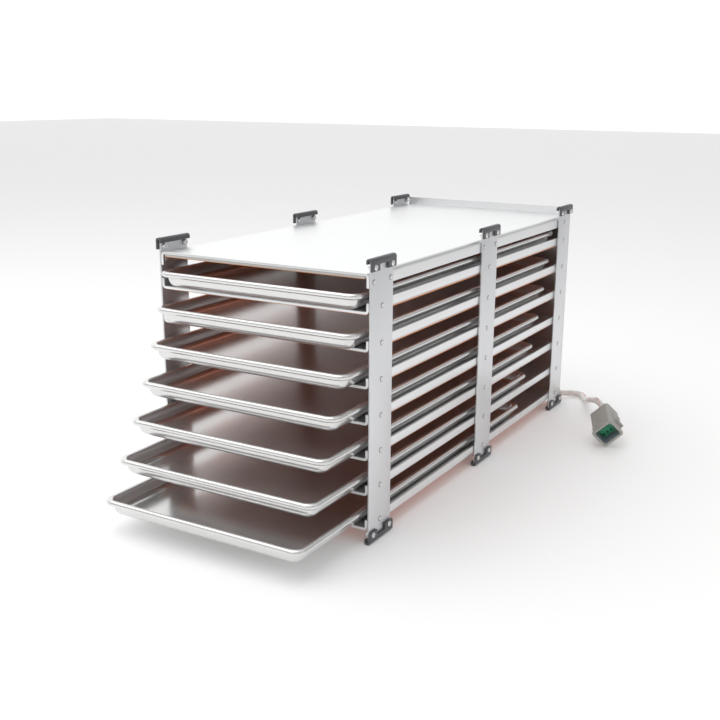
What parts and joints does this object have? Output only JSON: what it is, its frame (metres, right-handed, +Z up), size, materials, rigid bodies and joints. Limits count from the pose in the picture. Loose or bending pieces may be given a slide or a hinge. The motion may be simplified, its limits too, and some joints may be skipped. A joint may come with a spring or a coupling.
{
  "type": "sheet pan rack",
  "caption": "Heated rack of bent aluminium shelves riveted between flat uprights, with sliding sheet pans, glide clips on the upright ends and a wire harness with a connector.",
  "frame": {"origin": "on the floor, at the centre of the box round the rack and its pans as they stand, without the free cable and connector", "axes": "+X to the side the harness is on, +Y from the open front to the rear, +Z up"},
  "size_m": [0.4498, 0.8024, 0.3243],
  "materials": {
    "upright": "brushed along the bar",
    "shelf": "satin",
    "film": "copper-brown film",
    "clip": "moulded, lightly textured",
    "pan": "fine brushed, bright rim",
    "wire": "smooth, slightly translucent",
    "clamp": "natural nylon",
    "housing": "moulded, satin",
    "wedge": "moulded",
    "seal": "soft"
  },
  "bodies": {
    "rack": {"tray_shelf_1": "shelf", "tray_shelf_2": "shelf", "tray_shelf_3": "shelf", "tray_shelf_4": "shelf", "tray_shelf_5": "shelf", "tray_shelf_6": "shelf", "tray_shelf_7": "shelf", "top_shelf": "shelf", "rear_panel": "shelf", "film_heater_1": "film", "film_heater_2": "film", "film_heater_3": "film", "film_heater_4": "film", "film_heater_5": "film", "film_heater_6": "film", "film_heater_7": "film", "film_heater_8": "film", "upright_front_left": "upright", "upright_middle_left": "upright", "upright_rear_left": "upright", "upright_front_right": "upright", "upright_middle_right": "upright", "upright_rear_right": "upright", "glide_clip_top_front_left": "clip", "glide_clip_top_front_right": "clip", "glide_clip_top_middle_left": "clip", "glide_clip_top_middle_right": "clip", "glide_clip_top_rear_left": "clip", "glide_clip_top_rear_right": "clip", "glide_clip_bottom_front_left": "clip", "glide_clip_bottom_front_right": "clip", "glide_clip_bottom_middle_left": "clip", "glide_clip_bottom_middle_right": "clip", "glide_clip_bottom_rear_left": "clip", "glide_clip_bottom_rear_right": "clip", "harness_trunk": "wire", "heater_lead_1": "wire", "heater_lead_2": "wire", "heater_lead_3": "wire", "heater_lead_4": "wire", "heater_lead_5": "wire", "heater_lead_6": "wire", "heater_lead_7": "wire", "heater_lead_8": "wire", "harness_clamp_lower": "clamp", "harness_clamp_upper": "clamp", "harness_cable": "wire", "connector_housing": "housing", "connector_wedge": "wedge", "connector_seal": "seal"},
    "pan_1": {"sheet_pan_1": "pan"},
    "pan_2": {"sheet_pan_2": "pan"},
    "pan_3": {"sheet_pan_3": "pan"},
    "pan_4": {"sheet_pan_4": "pan"},
    "pan_5": {"sheet_pan_5": "pan"},
    "pan_6": {"sheet_pan_6": "pan"},
    "pan_7": {"sheet_pan_7": "pan"}
  },
  "joints": [
    {"name": "pan_1_slide", "type": "slide", "parent": "rack", "child": "pan_1", "axis": [0, -1, 0], "range_m": [-0.0154, 0.5896]},
    {"name": "pan_2_slide", "type": "slide", "parent": "rack", "child": "pan_2", "axis": [0, -1, 0], "range_m": [-0.0255, 0.5795]},
    {"name": "pan_3_slide", "type": "slide", "parent": "rack", "child": "pan_3", "axis": [0, -1, 0], "range_m": [-0.0399, 0.5651]},
    {"name": "pan_4_slide", "type": "slide", "parent": "rack", "child": "pan_4", "axis": [0, -1, 0], "range_m": [-0.0581, 0.5469]},
    {"name": "pan_5_slide", "type": "slide", "parent": "rack", "child": "pan_5", "axis": [0, -1, 0], "range_m": [-0.0779, 0.5271]},
    {"name": "pan_6_slide", "type": "slide", "parent": "rack", "child": "pan_6", "axis": [0, -1, 0], "range_m": [-0.1014, 0.5036]},
    {"name": "pan_7_slide", "type": "slide", "parent": "rack", "child": "pan_7", "axis": [0, -1, 0], "range_m": [-0.1273, 0.4777]}
  ]
}
